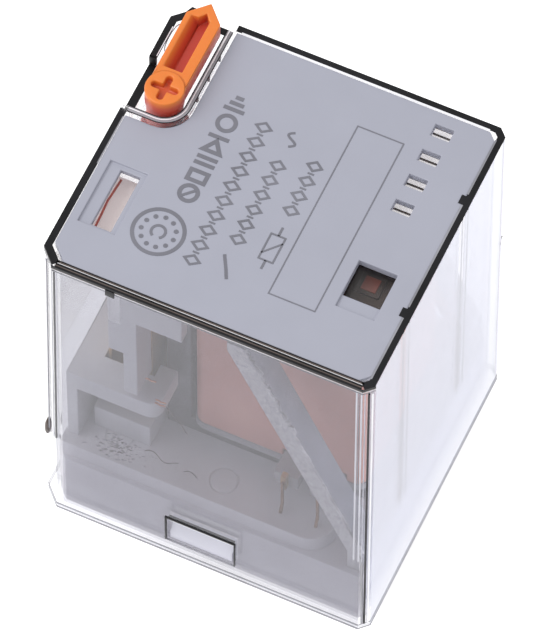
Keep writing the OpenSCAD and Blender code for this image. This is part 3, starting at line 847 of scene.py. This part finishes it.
def latch_frame():
    """Painted lines on the edges of the latch windows: dark top and sides, a grey sill, a bright
    highlight inside with painted shadow above it.
    """
    dark, light, grey = range(3)
    left, right, low, high, mid_z = -4.25, 3.65, 2.85, 7.45, 5
    for name, side in (("front", -1), ("back", 1)):
        y = side * (case_half(mid_z)[1] - 0.02)
        line_y, shadow_y, sill_y = y - side * 0.5, y - side * 0.55, y - side * 0.4
        parts = [
            (dark, block((left, y - 0.12, high - 0.02), (right, y + 0.12, high + 0.22), 0.04)),
            (dark, block((left - 0.22, y - 0.12, low), (left, y + 0.12, high + 0.22), 0.04)),
            (dark, block((right, y - 0.12, low), (right + 0.16, y + 0.12, high + 0.22), 0.04)),
            (grey, block((left, y - 0.1, low - 0.16), (right, y + 0.1, low), 0.04)),
            (light, block((left + 0.05, line_y - 0.2, high - 1.0),
                          (right - 0.1, line_y + 0.2, high - 0.55), 0.1)),
            (dark, block((left + 0.05, shadow_y - 0.2, high - 0.5),
                         (right - 0.1, shadow_y + 0.1, high - 0.3), 0.05)),
            (grey, block((left + 0.2, sill_y - 0.1, low + 0.5),
                         (right - 0.4, sill_y + 0.1, low + 0.62), 0.03))]
        add_joined("latch_frame_" + name, parts, "case", SLOTS["cover"], PAINTED_DARK_LINE, PAINTED_BRIGHT_LINE,
                   PAINTED_GREY_LINE)


def bay_path(grow):
    """The line of the wall round the lever's bay, moved out by grow."""
    right, front, radius = BAY_RIGHT + grow, BAY_FRONT - grow, BAY_R + grow
    bend = arc((right - radius, front + radius), radius, 0, -90, 14)
    return [(right, 15.9)] + bend + [(-17.9, front)]


def bay_lines():
    """Painted lines that follow the rounded wall round the lever's bay, for the light its clear
    plastic bends and reflects.
    """
    face = CASE_HIGH.z - 0.02
    dark = [stroke(bay_path(0.66), 0.1, face, LINE_HEIGHT),
            stroke(bay_path(0.03), 0.12, face, LINE_HEIGHT),
            stroke(bay_path(-0.75)[:-1], 0.09, 47.5, LINE_HEIGHT)]
    grey = [stroke(bay_path(0.48), 0.26, face, LINE_HEIGHT),
            stroke(bay_path(-0.3)[:-2], 0.16, 48.2, LINE_HEIGHT),
            stroke(bay_path(0.12), 0.08, face, LINE_HEIGHT)]
    light = [stroke(bay_path(0.26), 0.12, CASE_HIGH.z - 0.01, 0.06),
             stroke(bay_path(-0.5)[2:-3], 0.16, 48.4, LINE_HEIGHT)]
    for y in (7.6, 10.4, 13.1):
        grey.append(block((BAY_RIGHT + 0.05, y, 49.0),
                          (BAY_RIGHT + 0.5, y + 0.2, CASE_HIGH.z + 0.02), 0.04))
    add_joined("bay_lines", layered(dark, grey, light), "case", SLOTS["cover"], PAINTED_DARK_LINE,
               PAINTED_GREY_LINE, PAINTED_BRIGHT_LINE)
    # a moulding pip beside the lever's tip, as a long grey oval with a painted highlight down its
    # middle
    oval = [(-17.55 + 0.42 * math.cos(k * math.pi / 12), 13 + 1.85 * math.sin(k * math.pi / 12))
            for k in range(24)]
    add_joined("pip_lines", layered([stroke(oval, 0.12, RIM_Z - 0.1, LINE_HEIGHT, closed=True)],
                                    [stroke([(-17.5, 11.6), (-17.5, 14.2)], 0.16, RIM_Z - 0.1)]),
               "case", SLOTS["cover"], PAINTED_GREY_LINE, PAINTED_BRIGHT_LINE)


# ------------------------------------------------------------------ small things inside


def window_well():
    """A dark brown well of painted shade with a red square, copper in painted shade, for the
    square window; glowing panels, painted light, under the four slots.
    """
    brown, red, glint = range(3)
    low, high, wall = Vector((9.6, -8.2, 46.6)), Vector((15.8, -0.9, 48.2)), 0.25
    parts = [(brown, block((low.x, low.y, low.z), (high.x, high.y, low.z + 0.3))),
             (brown, block((low.x, low.y, low.z), (low.x + wall, high.y, high.z))),
             (brown, block((high.x - wall, low.y, low.z), (high.x, high.y, high.z))),
             (brown, block((low.x, low.y, low.z), (high.x, low.y + wall, high.z))),
             (brown, block((low.x, high.y - wall, low.z), (high.x, high.y, high.z))),
             (brown, block((11.4, -5.1, low.z + 0.2), (14.1, -2.5, low.z + 0.6), 0.15)),
             (red, block((11.9, -4.7, low.z + 0.5), (13.6, -3.0, low.z + 0.75), 0.1))]
    first_slot, slot_pitch = 3.4, 3.33
    for slot in range(4):
        y = first_slot + slot_pitch * slot
        parts.append((glint, block((10.3, y + 0.7, 47.6), (13.9, y + 3.1, 47.7), 0.04)))
        parts.append((brown, block((10.6, y + 1.5, 48.0), (13.6, y + 1.68, 48.2), 0.04)))
        parts.append((brown, block((10.6, y + 2.3, 48.0), (13.6, y + 2.42, 48.2), 0.04)))
    add_joined("window_well", parts, "case", SLOTS["coil_bobbin"], WELL_SHADE, WELL_RED, GLINT)


def flag_mark():
    """The red line on the flag, a little aslant in its window."""
    low, high = box_mm("indicator_flag")
    path = [(-15.75, low.y + 0.3), (-15.9, -7.8), (-16.0, -6.2), (-15.8, min(-3.2, high.y - 0.3))]
    add_joined("flag_mark", layered([stroke(path, 0.24, high.z + LIFT / 2, LINE_HEIGHT)]),
               "armature", SLOTS["indicator_flag"], FLAG_RED)


def strap_burr():
    """The torn edge left by the punch along the strap's front corner."""
    rng = random.Random(11)
    face_y = box_mm("magnet_strap")[0].y
    head, foot = Vector((3.9, face_y, 46.3)), Vector((17.65, face_y, 13.5))
    along = (foot - head).normalized()
    across = Vector((along.z, 0, -along.x))
    steps, torn_part, torn, mild = 110, 0.45, 1.0, 0.4
    rings = []
    for i in range(steps + 1):
        spot = head.lerp(foot, i / steps)
        tear = torn if i < steps * torn_part else mild
        width = 0.12 + 0.8 * tear * rng.random() * (0.3 + 0.7 * abs(math.sin(i * 0.19)))
        lift = 0.05 + 0.1 * rng.random()
        rings.append([spot + Vector((0, -0.01, 0)),
                      spot - across * width + Vector((0, -lift, 0)),
                      spot - across * (width + 0.1) + Vector((0, 0.05, 0)),
                      spot + across * 0.05 + Vector((0, 0.34 + 0.08 * rng.random(), 0))])
    mesh = swept("strap_burr", rings)
    smooth(mesh, 40)
    add_piece("strap_burr", mesh, "case", SLOTS["magnet_strap"], BURR)


def residue():
    """Flux specks on the base floor, and hair-thin wire ends there and higher up."""
    rng = random.Random(5)
    brown, copper = range(2)
    floor, tries, full_turn = 11.6, 120, 6.28
    parts = []
    for _ in range(tries):
        x, y = rng.gauss(-11.5, 1.6), rng.gauss(-14.2, 0.9)
        if not (-17 < x < 12 and -15.6 < y < -12.7):
            continue
        size = 0.05 + 0.12 * rng.random()
        bend = rng.random() * full_turn
        speck = [(x, y), (x + size * math.cos(bend), y + size * math.sin(bend)),
                 (x + 2 * size, y + size * rng.random())]
        parts.append((brown, stroke(speck, 0.05, floor + 0.005, 0.03)))
    # two brown wires that wave and sink along the floor
    steps = 8
    for start, end, z in (((-8.2, -14.6), (-4.6, -14.0), 14.2),
                          ((-3.8, -14.3), (-0.6, -13.6), 12.4)):
        points = [(start[0] + (end[0] - start[0]) * t / steps,
                   start[1] + (end[1] - start[1]) * t / steps + 0.2 * math.sin(t * 0.9),
                   z - 1.6 * (t / steps) + 0.3 * math.sin(t)) for t in range(steps + 1)]
        parts.append((brown, tube(points, 0.06, 6)))
    parts.append((brown, tube([(-5.3, -15.2, 26.7), (-4.3, -15.3, 25.2), (-3.6, -15.2, 24.2),
                               (-2.9, -15.3, 22.9)], 0.06, 6)))
    for x, z, reach in ((-6.7, 31.0, 0.9), (-5.8, 27.3, 0.7), (-6.0, 26.6, 0.6)):
        points = [(x - reach + 0.3 * t, -15.2, z + 0.12 * math.sin(2.2 * t)) for t in range(5)]
        parts.append((copper, tube(points, 0.1, 6)))
    add_joined("residue", parts, "case", SLOTS["coil_leads"], EDGE_BROWN, COPPER)


# ------------------------------------------------------------------ camera, floor, light

CAMERA_AZIMUTH = 24.20
CAMERA_ELEVATION = 59.64
CAMERA_ROLL = -0.58
CAMERA_TARGET = Vector((0.27, 0.0, 24.94))
CAMERA_DISTANCE = 779.9
LENS = 413.6
SENSOR_WIDTH = 36
SKY_STRENGTH = 0.8
FLOOR_HALF_M = 1.6
FLOOR_GAP_M = 0.0001


def make_camera():
    azimuth, elevation = math.radians(CAMERA_AZIMUTH), math.radians(CAMERA_ELEVATION)
    back = Vector((math.sin(azimuth) * math.cos(elevation),
                   -math.cos(azimuth) * math.cos(elevation), math.sin(elevation)))
    right = Vector((math.cos(azimuth), math.sin(azimuth), 0))
    up = back.cross(right)
    roll = math.radians(CAMERA_ROLL)
    turned_right = right * math.cos(roll) - up * math.sin(roll)
    turned_up = right * math.sin(roll) + up * math.cos(roll)
    place = (CAMERA_TARGET + back * CAMERA_DISTANCE) * MM
    camera = bpy.data.objects.new("camera", bpy.data.cameras.new("camera"))
    camera.data.lens = LENS
    camera.data.sensor_width = SENSOR_WIDTH
    camera.data.clip_start = 0.01
    camera.data.clip_end = 10
    axes = Matrix((turned_right, turned_up, back)).transposed()
    camera.matrix_world = Matrix.Translation(place) @ axes.to_4x4()
    bpy.context.collection.objects.link(camera)
    bpy.context.scene.camera = camera


def make_floor():
    s = Shader("studio_floor")
    surface = s.principled(Roughness=0.8, Emission_Color=(1, 1, 1, 1), Emission_Strength=0.4)
    s.link(s.ramp(s.noise(90.0, 2.0), [(0.3, (0.93, 0.93, 0.935)), (0.7, (0.95, 0.95, 0.955))]),
           surface.inputs["Base Color"])
    mesh = bpy.data.meshes.new("floor")
    half = FLOOR_HALF_M
    mesh.from_pydata([(-half, -half, 0), (half, -half, 0), (half, half, 0), (-half, half, 0)], [],
                     [(0, 1, 2, 3)])
    floor = bpy.data.objects.new("floor", mesh)
    floor.location.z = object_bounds()[0].z - FLOOR_GAP_M
    mesh.materials.append(s.material)
    bpy.context.collection.objects.link(floor)


def area_light(name, place, target, size, power):
    light = bpy.data.lights.new(name, "AREA")
    light.size = size
    light.energy = power
    holder = bpy.data.objects.new(name, light)
    holder.location = place
    holder.rotation_mode = "QUATERNION"
    holder.rotation_quaternion = (Vector(target) - Vector(place)).to_track_quat("-Z", "Y")
    bpy.context.collection.objects.link(holder)


def make_light():
    world = bpy.data.worlds.new("studio")
    bpy.context.scene.world = world
    world.use_nodes = True
    sky = world.node_tree.nodes["Background"]
    sky.inputs["Color"].default_value = (1, 1, 1, 1)
    sky.inputs["Strength"].default_value = SKY_STRENGTH
    area_light("key", (-0.5, -0.3, 0.8), (0, 0, 0.02), 0.6, 5.0)
    bpy.context.scene.view_settings.view_transform = "Standard"
    # the clear cover, its ribs and the part behind them are many clear walls in a row
    bpy.context.scene.cycles.transparent_max_bounces = 32


make_camera()
dress_cad()
print_plate()
edge_strips()
front_band()
corner_lines()
gate_stub()
foot_lines()
latch_frame()
bay_lines()
window_well()
flag_mark()
strap_burr()
residue()
make_floor()
make_light()
